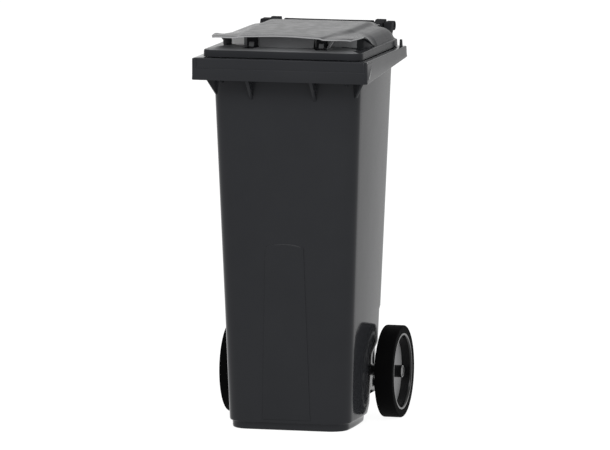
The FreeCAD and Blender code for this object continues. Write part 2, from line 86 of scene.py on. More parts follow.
def look_camera():
    """Camera a long way off, to the right of the bin's front and a little above it."""
    data = bpy.data.cameras.new("camera")
    data.sensor_width = 36.0
    data.lens = CAMERA_LENS
    data.clip_end = 200.0
    cam = bpy.data.objects.new("camera", data)
    bpy.context.scene.collection.objects.link(cam)
    level = math.cos(CAMERA_PITCH)
    forward = Vector((-math.sin(CAMERA_YAW) * level, math.cos(CAMERA_YAW) * level, -math.sin(CAMERA_PITCH)))
    cam.location = CAMERA_TARGET - forward * CAMERA_DISTANCE
    cam.rotation_euler = forward.to_track_quat("-Z", "Y").to_euler()
    bpy.context.scene.camera = cam


def studio():
    """White surroundings, a pale floor and one large soft light."""
    scene = bpy.context.scene
    scene.view_settings.view_transform = "Standard"
    world = bpy.data.worlds.new("studio")
    scene.world = world
    world.use_nodes = True
    background = world.node_tree.nodes["Background"]
    background.inputs["Color"].default_value = WHITE
    background.inputs["Strength"].default_value = 1.05
    mesh = bpy.data.meshes.new("floor")
    corners = [(x * FLOOR_REACH, y * FLOOR_REACH, 0) for x, y in ((-1, -1), (1, -1), (1, 1), (-1, 1))]
    mesh.from_pydata(corners, [], [(0, 1, 2, 3)])
    floor = bpy.data.objects.new("floor", mesh)
    scene.collection.objects.link(floor)
    material = bpy.data.materials.new("floor_paper")
    material.use_nodes = True
    bsdf = material.node_tree.nodes["Principled BSDF"]
    bsdf.inputs["Base Color"].default_value = (0.14, 0.14, 0.14, 1)
    bsdf.inputs["Roughness"].default_value = 1.0
    bsdf.inputs["Specular IOR Level"].default_value = 0.0
    bsdf.inputs["Emission Color"].default_value = WHITE
    bsdf.inputs["Emission Strength"].default_value = 0.93
    mesh.materials.append(material)
    softbox("overhead", (0.3, -2.3, 2.9), (3.4, 1.3), 46.0)


def softbox(name, place_at, size, power):
    """Soft rectangular light that faces the bin."""
    data = bpy.data.lights.new(name, "AREA")
    data.shape = "RECTANGLE"
    data.size, data.size_y = size
    data.energy = power
    lamp = bpy.data.objects.new(name, data)
    bpy.context.scene.collection.objects.link(lamp)
    lamp.location = place_at
    aim = Vector((0.0, 0.0, 0.7)) - Vector(place_at)
    lamp.rotation_euler = aim.to_track_quat("-Z", "Y").to_euler()


# ---- materials ------------------------------------------------------------------------------------
def noise(tree, coords, scale, detail):
    """Noise factor at the object's own coordinates."""
    node = tree.nodes.new("ShaderNodeTexNoise")
    node.inputs["Scale"].default_value = scale
    node.inputs["Detail"].default_value = detail
    node.inputs["Roughness"].default_value = 0.55
    tree.links.new(coords, node.inputs["Vector"])
    return node.outputs["Fac"]


def ramp(tree, value, low, high):
    """Maps the middle part of a noise factor to the range from low to high."""
    node = tree.nodes.new("ShaderNodeMapRange")
    node.inputs["From Min"].default_value = 0.3
    node.inputs["From Max"].default_value = 0.7
    node.inputs["To Min"].default_value = low
    node.inputs["To Max"].default_value = high
    tree.links.new(value, node.inputs["Value"])
    return node.outputs["Result"]


def tint(tree, value, dark, light):
    """Blends two colours by a noise factor."""
    node = tree.nodes.new("ShaderNodeMix")
    node.data_type = "RGBA"
    node.inputs["A"].default_value = (*dark, 1)
    node.inputs["B"].default_value = (*light, 1)
    tree.links.new(value, node.inputs["Factor"])
    return node.outputs["Result"]


def bump(tree, height, distance, before=None):
    """Bumps of a height in metres, on top of an earlier bump if one is given."""
    node = tree.nodes.new("ShaderNodeBump")
    node.inputs["Distance"].default_value = distance
    node.inputs["Strength"].default_value = 1.0
    tree.links.new(height, node.inputs["Height"])
    if before is not None:
        tree.links.new(before, node.inputs["Normal"])
    return node.outputs["Normal"]


def moulded(name, shades, rough_low, rough_high, ior, grain, wave, metallic=0.0):
    """Moulded plastic, rubber or metal: slow colour drift, uneven gloss, fine grain and slight wall waves."""
    material = bpy.data.materials.new(name)
    material.use_nodes = True
    tree = material.node_tree
    bsdf = tree.nodes["Principled BSDF"]
    coords = tree.nodes.new("ShaderNodeTexCoord").outputs["Object"]
    drift = noise(tree, coords, 7.0, 3.0)
    tree.links.new(tint(tree, drift, *shades), bsdf.inputs["Base Color"])
    patches = noise(tree, coords, 38.0, 5.0)
    tree.links.new(ramp(tree, patches, rough_low, rough_high), bsdf.inputs["Roughness"])
    bsdf.inputs["IOR"].default_value = ior
    bsdf.inputs["Metallic"].default_value = metallic
    waves = bump(tree, noise(tree, coords, 9.0, 1.0), wave)
    fine = bump(tree, noise(tree, coords, 1400.0, 2.0), grain, waves)
    tree.links.new(fine, bsdf.inputs["Normal"])
    return material


GREY = ((0.0165, 0.0172, 0.0192), (0.0205, 0.0213, 0.0235))
BLACK = ((0.0022, 0.0022, 0.0024), (0.0036, 0.0036, 0.0038))
# Paler grey for the sill and pocket walls under the lid's lip: painted light for the light that reaches under
# the lip
PAINTED_LIGHT_GREY = ((0.125, 0.127, 0.132), (0.165, 0.168, 0.173))
HINGE_AND_SHADE_GREY = ((0.011, 0.0115, 0.013), (0.016, 0.0165, 0.018))
RUBBER = ((0.0012, 0.0012, 0.0013), (0.0022, 0.0022, 0.0023))

# key: material name, (dark, light) colour, roughness from and to, IOR, height of the grain and of the waves
FINISHES = {
    "body": ("body_plastic", GREY, 0.08, 0.13, 1.155, 0.000004, 0.0004),
    "lid": ("lid_plastic", GREY, 0.17, 0.25, 1.103, 0.000005, 0.0003),
    # sill: paler colour painted on the sill and pocket walls as painted light under the lip
    "sill": ("sill_painted_light", PAINTED_LIGHT_GREY, 0.40, 0.55, 1.25, 0.00001, 0.0003),
    # hinge: dark finish of the knuckles and the handle, also used as painted shade at the pocket ends and on the
    # pad stems
    "hinge": ("hinge_plastic_and_painted_shade", HINGE_AND_SHADE_GREY, 0.60, 0.75, 1.10, 0.00001, 0.0003),
    # Pale colour for the lid's front and side edges: a painted highlight
    "edge_highlight": ("lid_edge_painted_highlight", ((0.20, 0.20, 0.205), (0.27, 0.27, 0.275)), 0.35, 0.5, 1.3, 0.00001, 0.0003),
    # panel: pale patch on the left pocket's back wall, and the slanted rib's pale colour as a painted highlight
    "panel": ("pocket_pale_patch_and_highlight", ((0.62, 0.62, 0.62), (0.75, 0.75, 0.75)), 0.4, 0.5, 1.3, 0.00001, 0.0003),
    "wheel": ("wheel_plastic", (BLACK[0], (0.008, 0.008, 0.0085)), 0.16, 0.24, 1.35, 0.000006, 0.0002),
    "web": ("wheel_web", ((0.20, 0.20, 0.203), (0.23, 0.23, 0.233)), 0.45, 0.55, 1.45, 0.00002, 0.0002),
    "tyre": ("tyre_rubber", RUBBER, 0.75, 0.88, 1.10, 0.00003, 0.0002),
    "pin": ("pin_plastic", BLACK, 0.30, 0.42, 1.45, 0.00001, 0.0001),
    "nylon": ("bush_nylon", ((0.50, 0.49, 0.45), (0.60, 0.59, 0.55)), 0.35, 0.45, 1.50, 0.00001, 0.0001),
    "coated": ("axle_steel", BLACK, 0.28, 0.38, 1.50, 0.00002, 0.0001),
    "zinc": ("small_steel", ((0.42, 0.42, 0.43), (0.60, 0.60, 0.61)), 0.25, 0.40, 1.50, 0.00001, 0.0001, 1.0),
}
CAD_FINISHES = {
    "body": "body", "lid": "lid", "axle": "coated", "hinge_pin": "pin", "spacer": "pin", "tyre": "tyre",
    "wheel_rim": "wheel", "hub_cap": "wheel", "bush_inner": "nylon", "bush_outer": "nylon",
    "washer": "zinc", "retaining_clip": "zinc",
}


def dress_cad(materials):
    """Every carried-over CAD node gets its finish."""
    for name, obj in frame["nodes"].items():
        base = name.removesuffix("_left").removesuffix("_right")
        for slot in obj.material_slots:
            slot.material = materials[CAD_FINISHES[base]]
        if not obj.material_slots:
            obj.data.materials.append(materials[CAD_FINISHES[base]])


# ---- mesh building --------------------------------------------------------------------------------
def place(x, v, z):
    """A point given in millimetres: across, back from the rim's front face, and up."""
    return Vector((x * MM, FRONT + v * MM, z * MM))


def finish_mesh(name, bm, material, bevel=0.0, segments=3, angle=35.0):
    """Turns a bmesh into a smooth-shaded object with its hard edges kept, and rounds them if asked."""
    bmesh.ops.remove_doubles(bm, verts=bm.verts, dist=0.00002)
    bmesh.ops.recalc_face_normals(bm, faces=bm.faces)
    mesh = bpy.data.meshes.new(name)
    bm.to_mesh(mesh)
    bm.free()
    mesh.materials.append(material)
    obj = bpy.data.objects.new(name, mesh)
    bpy.context.scene.collection.objects.link(obj)
    mesh.polygons.foreach_set("use_smooth", [True] * len(mesh.polygons))
    if bevel:
        rounding = obj.modifiers.new("round", "BEVEL")
        rounding.width = bevel * MM
        rounding.segments = segments
        rounding.limit_method = "ANGLE"
        rounding.angle_limit = math.radians(angle)
        rounding.harden_normals = True
    else:
        mesh.set_sharp_from_angle(angle=math.radians(angle))
    return obj


def apply_modifiers(obj):
    """Swaps the mesh for the one its modifiers make."""
    graph = bpy.context.evaluated_depsgraph_get()
    mesh = bpy.data.meshes.new_from_object(obj.evaluated_get(graph))
    obj.modifiers.clear()
    obj.data = mesh
    return obj


def carve(obj, *cutters):
    """Takes the cutters out of obj and removes them."""
    for cutter in cutters:
        cut = obj.modifiers.new("cut", "BOOLEAN")
        cut.operation = "DIFFERENCE"
        cut.solver = "EXACT"
        cut.object = cutter
        obj.modifiers.move(len(obj.modifiers) - 1, 0)
        bpy.context.view_layer.update()
    apply_modifiers(obj)
    for cutter in cutters:
        bpy.data.objects.remove(cutter)
    return obj


def join(name, parts):
    """One object from several, all already in place, with their modifiers applied."""
    bm = bmesh.new()
    materials = []
    for part in parts:
        apply_modifiers(part)
        offset = len(bm.faces)
        bm.from_mesh(part.data)
        bm.faces.ensure_lookup_table()
        slots = []
        for material in part.data.materials:
            if material not in materials:
                materials.append(material)
            slots.append(materials.index(material))
        for face in bm.faces[offset:]:
            face.material_index = slots[face.material_index] if slots else 0
    mesh = bpy.data.meshes.new(name)
    bm.to_mesh(mesh)
    bm.free()
    for material in materials:
        mesh.materials.append(material)
    for part in parts:
        bpy.data.objects.remove(part)
    obj = bpy.data.objects.new(name, mesh)
    bpy.context.scene.collection.objects.link(obj)
    mesh.polygons.foreach_set("use_smooth", [True] * len(mesh.polygons))
    mesh.set_sharp_from_angle(angle=math.radians(35.0))
    return obj


def rings_bmesh(rings, cap_first=False, cap_last=False):
    """Quads between rings of points, which all have the same number of points."""
    bm = bmesh.new()
    made = [[bm.verts.new(point) for point in ring] for ring in rings]
    count = len(made[0])
    for low, high in zip(made, made[1:]):
        for i in range(count):
            k = (i + 1) % count
            bm.faces.new((low[i], low[k], high[k], high[i]))
    if cap_first:
        bm.faces.new(list(reversed(made[0])))
    if cap_last:
        bm.faces.new(made[-1])
    return bm


CORNER_STEPS = 14
SIDE_STEPS = 18


def rounded_ring(half, front, rear, radius, height, rear_radius=None):
    """Rounded rectangle in plan, from the middle of the front; height is a number or a function of depth."""
    near = max(radius, 0.3)
    far = near if rear_radius is None else max(rear_radius, 0.3)
    rise = height if callable(height) else (lambda v: height)
    points = []
    corners = ((half - near, front + near, -90, near), (half - far, rear - far, 0, far),
               (-half + far, rear - far, 90, far), (-half + near, front + near, 180, near))
    arcs = []
    for cx, cy, start, radius in corners:
        arc = []
        for step in range(CORNER_STEPS + 1):
            angle = math.radians(start + 90.0 * step / CORNER_STEPS)
            arc.append((cx + radius * math.cos(angle), cy + radius * math.sin(angle)))
        arcs.append(arc)
    for index, arc in enumerate(arcs):
        points += arc
        here, there = arc[-1], arcs[(index + 1) % 4][0]
        for step in range(1, SIDE_STEPS):
            part = step / SIDE_STEPS
            points.append((here[0] + (there[0] - here[0]) * part, here[1] + (there[1] - here[1]) * part))
    return [place(x, v, rise(v)) for x, v in points]


def slab(near, far):
    """Closed solid between two outlines with the same number of points."""
    bm = bmesh.new()
    near = [bm.verts.new(point) for point in near]
    far = [bm.verts.new(point) for point in far]
    bm.faces.new(near)
    bm.faces.new(list(reversed(far)))
    count = len(near)
    for i in range(count):
        k = (i + 1) % count
        bm.faces.new((near[k], near[i], far[i], far[k]))
    return bm


def prism(name, outline, low, high, axis, material, bevel=1.0, segments=3, turn=None):
    """Flat piece: an outline in the plane across the axis, between low and high along it, edges rounded.

    The axis is x for an outline of (v, z), v for one of (x, z), and z for one of (x, v)."""
    def corner(a, b, c):
        return {"x": (c, a, b), "v": (a, c, b), "z": (a, b, c)}[axis]
    bm = slab(*([place(*corner(a, b, end)) for a, b in outline] for end in (low, high)))
    if turn:
        pivot, angle = turn
        bmesh.ops.rotate(bm, verts=bm.verts, cent=pivot, matrix=Matrix.Rotation(angle, 3, "Z"))
    return finish_mesh(name, bm, material, bevel, segments)


def arc_points(centre, radius, start, end, steps):
    """Points on an arc, in degrees from the first axis towards the second."""
    points = []
    for step in range(steps + 1):
        angle = math.radians(start + (end - start) * step / steps)
        points.append((centre[0] + radius * math.cos(angle), centre[1] + radius * math.sin(angle)))
    return points


def lathe(name, profile, material, v, z, segments=128, angle=35.0):
    """Closed profile of (x, radius) turned about a line along X, for the right-hand side."""
    rings = []
    for step in range(segments):
        turn = 2.0 * math.pi * step / segments
        rings.append([place(x, v + r * math.cos(turn), z + r * math.sin(turn)) for x, r in profile])
    bm = rings_bmesh(rings + rings[:1])
    return finish_mesh(name, bm, material, 0.0, angle=angle)


def mirror_copy(obj, name):
    """The same piece on the other side of the plane X = 0."""
    mesh = obj.data.copy()
    mesh.name = name
    mesh.transform(Matrix.Diagonal((-1, 1, 1, 1)))
    mesh.flip_normals()
    twin = bpy.data.objects.new(name, mesh)
    bpy.context.scene.collection.objects.link(twin)
    return twin


def bore_cutter(low, high, radius, v, z, segments):
    """Round bar along X that cuts a bore a little past both faces of a piece."""
    bar = [(low - 2, 0.1), (low - 2, radius), (high + 2, radius), (high + 2, 0.1)]
    return lathe("bore", bar, finishes["body"], v, z, segments)


def smooth_step(x, low, high):
    """Eased step from 0 at low to 1 at high."""
    t = min(max((x - low) / (high - low), 0.0), 1.0)
    return t * t * (3.0 - 2.0 * t)


def mix(a, b, t):
    return a + (b - a) * t


def along(points, x):
    """Value at x on straight lines through (x, value) points, held past both ends."""
    if x <= points[0][0]:
        return points[0][1]
    for (x0, y0), (x1, y1) in zip(points, points[1:]):
        if x <= x1:
            t = (x - x0) / (x1 - x0)
            return mix(y0, y1, t)
    return points[-1][1]


# ---- the lid --------------------------------------------------------------------------------------
# In millimetres: x across, v back from the rim's front face, z up.
LID_BASE = 1009.0
LEDGE_Z = 1027.0
LEDGE_EDGE = 1027.5
LEDGE_RISE = 0.11
SKIN = 3.5
LID_SIDE = 220.0
LID_FRONT_V = 22.0
LID_REAR_V = 444.0
VISOR_END = 238.0
EXTENSION_START = 428.0
EXTENSION_END = 505.0
LID_MIDDLE_V = 238.0
FLANGE_RADIUS = 27.0
FLANGE_SHOULDER = 4.2
WALL_HALF = 207.0
WALL_CORNER = 140.0
WALL_FRONT_V = 90.0
WALL_REAR_V = LID_REAR_V - 5.0
WALL_RADIUS = 18.0

# share of the half width -> height: one line across the front, one across the rear
FRONT_LINE = ((0.0, 1070.9), (0.50, 1070.8), (0.58, 1070.4), (0.60, 1069.8), (0.635, 1067.8),
              (0.66, 1067.3), (0.86, 1067.4), (0.95, 1065.8), (1.0, 1064.4))
REAR_LINE = ((0.0, 1071.0), (0.60, 1070.8), (0.645, 1070.2), (0.665, 1068.6), (0.70, 1063.8),
             (0.72, 1062.2), (0.775, 1060.6), (0.85, 1058.2), (0.90, 1054.8), (0.945, 1048.5),
             (0.972, 1041.0), (0.988, 1034.0), (1.0, 1027.5))
# depth -> half width of the lid's skin
HALF_LINE = ((0.0, 186.0), (20.0, 189.0), (45.0, 197.0), (80.0, 202.5), (130.0, 205.0), (200.0, 207.0),
             (VISOR_END, 210.5), (400.0, 210.5), (436.0, 209.0), (600.0, 209.0))


def lip_front(share):
    """How far back the lip's front edge is, across the lid."""
    dip = 31.0 * math.cos(min(abs(share) / 0.68, 1.0) * math.pi / 2.0) ** 2
    return 3.0 + dip + 22.0 * smooth_step(abs(share), 0.80, 1.0)


def skin_half(v):
    """Half width of the lid's skin at a depth: narrow at the lip, full width behind the hand pockets."""
    return along(HALF_LINE, v)


def skin_rear(share):
    """Where the skin ends at the back: the rear wall, or the hinge extension in the middle."""
    return mix(EXTENSION_END, LID_REAR_V - 3.0, smooth_step(abs(share), 0.750, 0.768))


def skin_height(share, v):
    """Height of the skin: raised middle, shoulders that fall to the ledge, sides that stay high in front."""
    share = abs(share)
    front, rear = along(FRONT_LINE, share), along(REAR_LINE, share)
    inner = smooth_step(v, 30.0, VISOR_END) ** 0.9
    edge = smooth_step(v, 95.0, 232.0) ** 1.3
    height = mix(front, rear, mix(inner, edge, smooth_step(share, 0.88, 1.0)))
    if share > 0.70:
        drop = smooth_step(v, LID_REAR_V - 26.0, LID_REAR_V - 2.0) ** 1.6
        height = mix(height, LEDGE_Z, drop * smooth_step(share, 0.755, 0.785))
    from_lip = v - lip_front(share)
    height -= 0.9 * (1.0 - smooth_step(from_lip, 1.5, 17.0))
    height -= 0.5 * (1.0 - smooth_step(from_lip, 8.0, 110.0))
    fall = max(v - EXTENSION_START, 0.0) / (EXTENSION_END - EXTENSION_START)
    return height - 11.5 * fall ** 1.4 * (1.0 - 0.75 * smooth_step(share, 0.62, 0.75)) * (share < 0.77)


def lid_skin(material):
    """Top skin of the lid, from the wavy lip over the raised middle to the hinge."""
    across, back = 150, 150
    bm = bmesh.new()
    grid = []
    for j in range(back + 1):
        row = []
        t = j / back
        for i in range(across + 1):
            share = -1.0 + 2.0 * i / across
            share = math.copysign(abs(share) ** 0.85, share)
            v = mix(lip_front(share), skin_rear(share), t)
            x = share * skin_half(v)
            row.append(bm.verts.new(place(x, v, skin_height(share, v))))
        grid.append(row)
    for j in range(back):
        for i in range(across):
            bm.faces.new((grid[j][i], grid[j][i + 1], grid[j + 1][i + 1], grid[j + 1][i]))
    for _ in range(2):
        bmesh.ops.smooth_vert(bm, verts=[v for v in bm.verts if not v.is_boundary], factor=0.5,
                              use_axis_x=False, use_axis_y=False, use_axis_z=True)
    obj = finish_mesh("lid_skin", bm, material, 0.0, angle=70.0)
    thick = obj.modifiers.new("wall", "SOLIDIFY")
    thick.thickness = SKIN * MM
    thick.offset = -1.0
    rounding = obj.modifiers.new("round", "BEVEL")
    rounding.width = 1.6 * MM
    rounding.segments = 3
    rounding.limit_method = "ANGLE"
    rounding.angle_limit = math.radians(55.0)
    return obj


def furthest(inside, reach):
    """The longest distance up to reach at which inside(distance) still holds."""
    low, high = 0.0, reach
    for _ in range(40):
        middle = (low + high) / 2.0
        low, high = (middle, high) if inside(middle) else (low, middle)
    return low


def wall_plan(angle):
    """Plan of the lid's inner wall as a point in a direction from the lid's middle, pockets at the front."""
    dx, dv = math.sin(angle), -math.cos(angle)
    if dv < 0.0:
        depth = LID_MIDDLE_V - WALL_FRONT_V
        flat = depth / -dv
        if abs(flat * dx) <= WALL_CORNER:
            return flat * dx, LID_MIDDLE_V + flat * dv

        def inside(distance):
            x, v = abs(distance * dx) - WALL_CORNER, -distance * dv
            return math.hypot(max(x, 0.0) / (WALL_HALF - WALL_CORNER), v / depth) <= 1.0
        reach = furthest(inside, 400.0)
        return reach * dx, LID_MIDDLE_V + reach * dv
    side = WALL_HALF / abs(dx) if abs(dx) > 1e-6 else math.inf
    rear = (WALL_REAR_V - LID_MIDDLE_V) / dv if dv > 1e-6 else math.inf
    reach = min(side, rear)
    corner_x, corner_v = WALL_HALF - WALL_RADIUS, WALL_REAR_V - WALL_RADIUS
    if abs(reach * dx) > corner_x and LID_MIDDLE_V + reach * dv > corner_v:
        def inside(distance):
            x, v = abs(distance * dx), LID_MIDDLE_V + distance * dv
            return x <= corner_x or v <= corner_v or math.hypot(x - corner_x, v - corner_v) <= WALL_RADIUS
        reach = furthest(inside, reach)
    return reach * dx, LID_MIDDLE_V + reach * dv


def flange_plan(angle, inset):
    """Rounded rectangle of the flange in the same direction."""
    half, radius = LID_SIDE - inset, FLANGE_RADIUS - inset
    front, rear = LID_FRONT_V + inset, LID_REAR_V - inset
    dx, dv = math.sin(angle), -math.cos(angle)

    def inside(distance):
        x, v = abs(distance * dx), LID_MIDDLE_V + distance * dv
        corner_x, near, far = half - radius, front + radius, rear - radius
        if x > corner_x and (v < near or v > far):
            return math.hypot(x - corner_x, v - (near if v < near else far)) <= radius
        return x <= half and front <= v <= rear
    reach = furthest(inside, 500.0)
    return reach * dx, LID_MIDDLE_V + reach * dv


def lid_frame(material):
    """Flange, sloping ledge and inner wall of the lid, as one shell."""
    steps = 360
    rows = [("flange", 0.0, LID_BASE), ("flange", 0.6, 1018.0), ("flange", 1.0, 1024.4),
            ("flange", 1.5, 1026.2), ("flange", 2.6, 1027.1), ("flange", FLANGE_SHOULDER, LEDGE_EDGE),
            ("ledge", 0.4, 0.0), ("ledge", 0.9, 0.0), ("wall", 0.0, 0.03), ("wall", 0.0, 0.10),
            ("wall", 0.0, 0.5), ("wall", 0.0, 1.0)]
    rings = [[] for _ in rows]
    for step in range(steps):
        angle = 2.0 * math.pi * step / steps
        wx, wv = wall_plan(angle)
        fx, fv = flange_plan(angle, FLANGE_SHOULDER)
        foot = LEDGE_EDGE + LEDGE_RISE * math.hypot(wx - fx, wv - fv)
        top = max(skin_height(wx / skin_half(wv), wv) - 2.5, foot + 0.4)
        for ring, (kind, value, height) in zip(rings, rows):
            if kind == "flange":
                x, v = flange_plan(angle, value)
                ring.append(place(x, v, height))
            elif kind == "ledge":
                ring.append(place(mix(fx, wx, value), mix(fv, wv, value), mix(LEDGE_EDGE, foot, value)))
            else:
                ring.append(place(wx, wv, mix(foot, top, height)))
    bm = rings_bmesh(rings)
    obj = finish_mesh("lid_frame", bm, material, 0.0, angle=60.0)
    thick = obj.modifiers.new("wall", "SOLIDIFY")
    thick.thickness = 3.2 * MM
    thick.offset = -1.0
    return obj


def lid_details(material):
    """Front block, slanted rib and pads, side walls of the hinge extension, and the hinge knuckles."""
    pieces = []
    foot = LEDGE_Z + 3.0
    block = [(75.5, foot), (86.5, 1067.0), (97, 1067.0), (97, foot)]
    pieces.append(prism("block", block, -75.6, 75.6, "x", material, 2.0))
    # The slanted rib's pale colour is a painted highlight: a bright line in the right pocket
    rib = [(109.5, 1031.0), (116.5, 1031.0), (132.5, 1058.5), (125.5, 1058.5)]
    pieces.append(prism("slanted_rib", rib, 76.0, 92.0, "v", finishes["panel"], 0.5, 2))
    for side in (1, -1):
        low, high = sorted((side * 89.5, side * 103.0))
        # The pads get the sill's paler colour: painted light on their lower fronts
        pad = [(74.5, foot), (78.5, 1046), (90, 1046), (90, foot)]
        pieces.append(prism("pad", pad, low, high, "x", finishes["sill"], 1.6))
        low, high = sorted((side * 82.0, side * 110.0))
        # The pad stems get the dark hinge finish: painted shade behind the pads
        stem = [(81, foot), (85, 1067), (97, 1067), (97, foot)]
        pieces.append(prism("pad_stem", stem, low, high, "x", finishes["hinge"], 1.2))
        low, high = sorted((side * 154.6, side * 158.6))
        wall = [(428, 1056), (428, 1049.4), (503.6, 1049.4), (503.6, 1052.5)]
        pieces.append(prism("extension_side", wall, low, high, "x", material, 0.8))
        low, high = sorted((side * 134.2, side * 158.8))
        outline = arc_points((HINGE_V, HINGE_H), 12.6, -115, 42, 16)
        outline += [(HINGE_V + 5.5, 1067.0), (HINGE_V + 2.5, 1067.9), (HINGE_V - 15.0, 1067.9),
                    (HINGE_V - 25.0, 1063.6), (478, 1061.5), (478, 1053.0), (502, 1047.0)]
        knuckle = prism("knuckle", outline, low, high, "x", finishes["hinge"], 1.2)
        pieces.append(carve(knuckle, bore_cutter(low, high, 7.1, HINGE_V, HINGE_H, 32)))
    return pieces


def lid_finish(x, v, z, normal):
    """Finish for a face of the lid at a place in millimetres: painted light, highlight or shade, or None for the
    plain plastic.
    """
    share = abs(x) / skin_half(v)
    on_lip = v < lip_front(min(share, 1.0)) + 1.6 + 3.5 * smooth_step(share, 0.66, 0.78)
    on_side = share > 0.97 and v < 115.0
    # The lip's front edge and the side edge near the front get a pale colour: a painted highlight
    if (on_lip or on_side) and z > 1052.0 and -0.75 < normal.z < 0.9:
        return "edge_highlight"
    if not (25.0 < v < 150.0 and 1026.6 < z < 1062.0 and normal.z > -0.3 and normal.y < 0.5):
        return None
    on_wall = normal.y < -0.25 and v > 86.0
    # Pale patch on the left pocket's back wall
    if on_wall and -155.0 < x < -119.0:
        return "panel"
    # The pocket ends get the dark hinge finish: painted shade in the pockets' far corners
    if on_wall and (x <= -155.0 or x > 182.0):
        return "hinge"
    on_pad = 81.0 < abs(x) < 111.0 and z > 1031.0
    # Sill and pocket walls under the lip get the paler colour: painted light where the lip shades them
    if not on_pad and (v < 88.0 and abs(x) < 200.0 or on_wall and -119.0 < x <= 182.0):
        return "sill"
    return None


def dress_lid(lid):
    """Paints light and shade on the lid: paler sill and pocket walls for the light under the lip, a painted
    highlight on the lip's edge, a pale patch on the left pocket's wall, painted shade at the pocket ends.
    """
    kinds = ("sill", "edge_highlight", "panel", "hinge")
    first = len(lid.data.materials)
    for kind in kinds:
        lid.data.materials.append(finishes[kind])
    for face in lid.data.polygons:
        kind = lid_finish(face.center.x / MM, (face.center.y - FRONT) / MM, face.center.z / MM, face.normal)
        if kind:
            face.material_index = first + kinds.index(kind)


def build_lid():
    material = finishes["lid"]
    pieces = [lid_skin(material), lid_frame(material)] + lid_details(material)
    lid = join("lid_moulding", pieces)
    dress_lid(lid)
    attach(lid, "lid")
    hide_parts("lid")


# ---- the body -------------------------------------------------------------------------------------
TOP = RIM_TOP / MM
WALL = 4.0
SIDE_BOW = 4.5
REAR_CORNER = 15.0
RIM_HALF = 240.0
RIM_FRONT = 3.2
RIM_REAR = 446.0
RIM_CORNER = 7.0
SKIRT_FRONT = 948.0
SKIRT_REAR = 978.0
STEP_Z = 980.0
PLINTH_TOP = 22.0
FLOOR_Z = 30.0
# the rear wall, height -> depth: foot, axle recess and its roof, a small ledge, then the plain draft
REAR_WALL = ((0.0, 304.0), (20.0, 312.0), (46.0, 335.0), (180.0, 343.0), (205.0, 403.5), (295.0, 406.5),
             (303.0, 416.8), (1007.0, 440.3))
OUTER_LEVELS = (33, 38, 43, 48, 54, 75, 110, 150, 168, 174, 178, 182, 186, 191, 196, 200, 204, 208, 213, 225,
                250, 275, 291, 294, 295.6, 299, 302.4, 304, 307, 340, 400, 480, 560, 640, 720, 800, 870, 930,
                970, 990)
INNER_LEVELS = (960, 860, 760, 600, 440, 320, 305, 302, 296, 293, 250, 216, 210, 205, 198, 190, 183, 178, 170,
                120, 60, 46, 38)


def tub_half(z):
    """Half width of the tub at a height."""
    return 165.0 + 0.0378 * z


def tub_front(z):
    """Depth of the front wall at a height."""
    return 73.5 - 0.0205 * z


def tub_corner(z):
    """Radius of the front corners at a height."""
    return 54.0 - 0.0133 * z


def tub_rear(z):
    """Depth of the rear wall at a height, with the bends of its line eased."""
    if z < PLINTH_TOP:
        return along(REAR_WALL, z)
    reach = 4.5 if z < 240.0 else 1.2
    return sum(along(REAR_WALL, z + reach * step) for step in (-1.0, -0.5, 0.0, 0.5, 1.0)) / 5.0


def tub_ring(z, inset, height=None):
    """The tub's section: its sides bulge a little between the corners."""
    front, rear = tub_front(z) + inset, tub_rear(z) - inset
    half = tub_half(z) - inset
    ring = rounded_ring(half, front, rear, tub_corner(z) - inset, z if height is None else height,
                        max(REAR_CORNER - inset, 2.5))
    middle, reach = (front + rear) / 2.0, (rear - front) / 2.0
    for point in ring:
        v = (point.y - FRONT) / MM
        share = abs(point.x) / MM / half
        bulge = max(1.0 - ((v - middle) / reach) ** 2, 0.0)
        point.x += math.copysign(SIDE_BOW * MM * bulge * share ** 4, point.x)
    return ring


def skirt_foot(v):
    """Height of the skirt's lower edge, which rises towards the back."""
    return SKIRT_FRONT + (SKIRT_REAR - SKIRT_FRONT) * v / RIM_REAR


def rim_ring(inset, height, flare):
    """The rim's section, pushed out by the flare towards its foot."""
    half, front = RIM_HALF + flare - inset, RIM_FRONT - flare + inset
    return rounded_ring(half, front, RIM_REAR - inset, RIM_CORNER - inset, height)


def tub_shell(material):
    """Plinth, walls, the downward-open rim and the inside, as one closed skin."""
    rings = [tub_ring(2.0, 15.0, 0.0), tub_ring(2.0, 11.0, 0.0), tub_ring(2.0, 8.6, 1.2),
             tub_ring(4.0, 7.3, 3.6), tub_ring(8.0, 7.0), tub_ring(18.6, 7.0), tub_ring(20.0, 6.2, 19.8),
             tub_ring(20.0, 4.6, 20.2), tub_ring(20.5, 2.2), tub_ring(21.6, 0.9), tub_ring(23.5, 0.2),
             tub_ring(27.0, 0.0)]
    rings += [tub_ring(z, 0.0) for z in OUTER_LEVELS]
    rings += [tub_ring(999.0, -0.6), tub_ring(1002.0, -2.4), tub_ring(1003.0, -5.0)]
    rings += [rim_ring(7.0, 1003.0, 0.0), rim_ring(4.6, 1002.2, 0.0), rim_ring(4.0, 1000.0, 0.1)]
    rings += [rim_ring(inset, lambda v, up=up: skirt_foot(v) + up, 2.0)
              for inset, up in ((4.0, 0.7), (3.4, 0.0), (0.9, 0.0), (0.25, 0.3), (0.0, 1.0))]
    rings += [rim_ring(0.0, 985.0, 0.8), rim_ring(0.0, TOP - 3.0, 0.05), rim_ring(0.3, TOP - 1.4, 0.0),
              rim_ring(1.0, TOP - 0.5, 0.0), rim_ring(2.4, TOP, 0.0)]
    rings += [tub_ring(1003.0, 1.0, TOP), tub_ring(1003.0, 2.6, TOP - 0.4), tub_ring(1003.0, 3.8, TOP - 1.8),
              tub_ring(1001.0, WALL)]
    rings += [tub_ring(z, WALL) for z in INNER_LEVELS]
    rings += [tub_ring(33.0, WALL + 2.0), tub_ring(30.5, WALL + 8.0), tub_ring(FLOOR_Z, WALL + 20.0)]
    return finish_mesh("tub_shell", rings_bmesh(rings, True, True), material, 0.0, angle=40.0)


